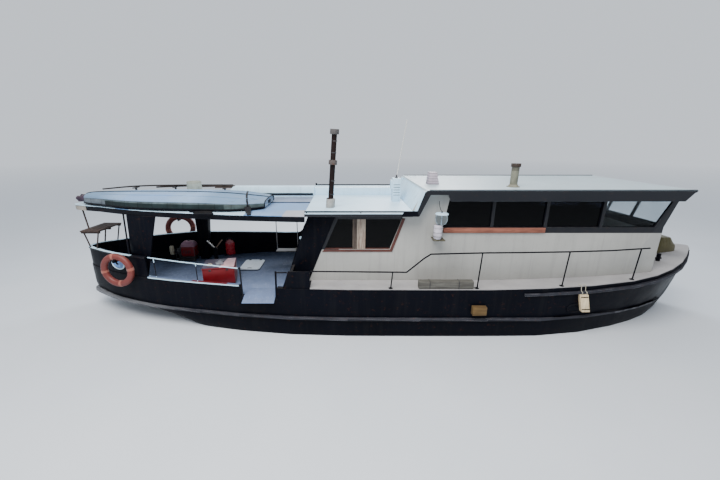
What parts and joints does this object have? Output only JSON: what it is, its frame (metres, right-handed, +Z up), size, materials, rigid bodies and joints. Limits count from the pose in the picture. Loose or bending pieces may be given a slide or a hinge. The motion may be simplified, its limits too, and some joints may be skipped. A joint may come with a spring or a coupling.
{
  "type": "houseboat",
  "caption": "Steel river houseboat with a rounded stern, open cockpit under a canopy, stepped cabin with raked ends, tender on the canopy and a stove pipe.",
  "frame": {"origin": "amidships on the centreline, at the waterline", "axes": "+X to the bow (right in the picture), +Y to port, +Z up; the picture shows the -Y side"},
  "size_m": [14.87, 3.54, 5.2912],
  "materials": {
    "black_steel": "worn black paint",
    "side_paint": "light warm grey paint",
    "white_paint": "white paint",
    "strake_steel": "worn light grey paint",
    "deck_paint": "matt blue grey paint",
    "glass": "dark glass",
    "dark_wood": "stained",
    "grey_wood": "weathered",
    "buoy_orange": "faded orange",
    "red_paint": "gloss red",
    "pipe_steel": "weathered",
    "cream_paint": "cream",
    "propeller_bronze": "dull",
    "tender_hull": "faded blue",
    "cover_fabric": "canvas"
  },
  "bodies": {
    "boat": {"hull": "black_steel", "strake_lower": "strake_steel", "strake_upper": "strake_steel", "deck": "deck_paint", "cockpit_floor": "deck_paint", "bulwark": "black_steel", "roof_box": "white_paint", "roof_bucket": "cream_paint", "canopy_post_port": "black_steel", "gate_sill": "pipe_steel", "bulwark_cap": "white_paint", "canopy_frame": "black_steel", "canopy_sheet": "white_paint", "pillar_stbd": "black_steel", "cabin_side_stbd": "side_paint", "cabin_side_port": "side_paint", "bulkhead_aft": "black_steel", "roof_aft": "white_paint", "step_face": "side_paint", "roof_fwd": "white_paint", "cabin_front": "side_paint", "stove_pipe": "pipe_steel", "tender": "tender_hull", "tender_cradle": "black_steel", "lifebuoy_quarter": "buoy_orange", "lifebuoy_port": "buoy_orange", "stern_shelf": "grey_wood", "cockpit_rail": "white_paint", "gate_post_fwd": "black_steel", "handrail_stbd": "black_steel", "handrail_port": "black_steel", "glass_aft_stbd": "glass", "glass_aft_port": "glass", "glass_fwd_stbd": "glass", "glass_fwd_port": "glass", "glass_screen": "glass", "sill_board_stbd": "dark_wood", "sill_board_port": "dark_wood", "vent_box": "white_paint", "antenna": "white_paint", "roof_hatch": "dark_wood", "roof_vent": "cream_paint", "locker": "red_paint", "generator": "red_paint", "capstan": "black_steel", "stowed_plank": "grey_wood", "fender_board": "grey_wood", "fender_block": "grey_wood", "windlass_cover": "cover_fabric", "bitts_bow_stbd": "black_steel", "bitts_bow_port": "black_steel", "engine": "pipe_steel", "cabin_sole": "grey_wood"},
    "cabin_door_body": {"cabin_door": "black_steel"},
    "hatch_lid_body": {"hatch_lid": "side_paint"},
    "swing_seat_body": {"swing_seat": "grey_wood"},
    "propeller_body": {"propeller": "propeller_bronze"},
    "rudder_body": {"rudder": "black_steel"},
    "steering_wheel_body": {"steering_wheel": "dark_wood"}
  },
  "joints": [
    {"name": "door_hinge", "type": "hinge", "parent": "boat", "child": "cabin_door_body", "pos_m": [-2.136, -0.834, 1.6], "axis": [0.3173, 0, 0.9483], "range_deg": [0, 95]},
    {"name": "hatch_hinge", "type": "hinge", "parent": "boat", "child": "hatch_lid_body", "pos_m": [-3.46, 0.64, 0.907], "axis": [1, 0, 0], "range_deg": [-100, 0]},
    {"name": "swing_hinge", "type": "hinge", "parent": "boat", "child": "swing_seat_body", "pos_m": [-2.5675, 0.55, 2.42], "axis": [1, 0, 0], "range_deg": [-25, 25]},
    {"name": "propeller_spin", "type": "hinge", "parent": "boat", "child": "propeller_body", "pos_m": [-5.06, 0, -0.4], "axis": [1, 0, 0], "continuous": true},
    {"name": "rudder_turn", "type": "hinge", "parent": "boat", "child": "rudder_body", "pos_m": [-5.56, 0, -0.35], "axis": [0, 0, 1], "range_deg": [-35, 35]},
    {"name": "wheel_turn", "type": "hinge", "parent": "boat", "child": "steering_wheel_body", "pos_m": [5.06, 0, 1.56], "axis": [1, 0, 0], "range_deg": [-360, 360]}
  ],
  "couplings": [
    {"joint": "rudder_turn", "follows": "wheel_turn", "ratio": 0.0972}
  ]
}
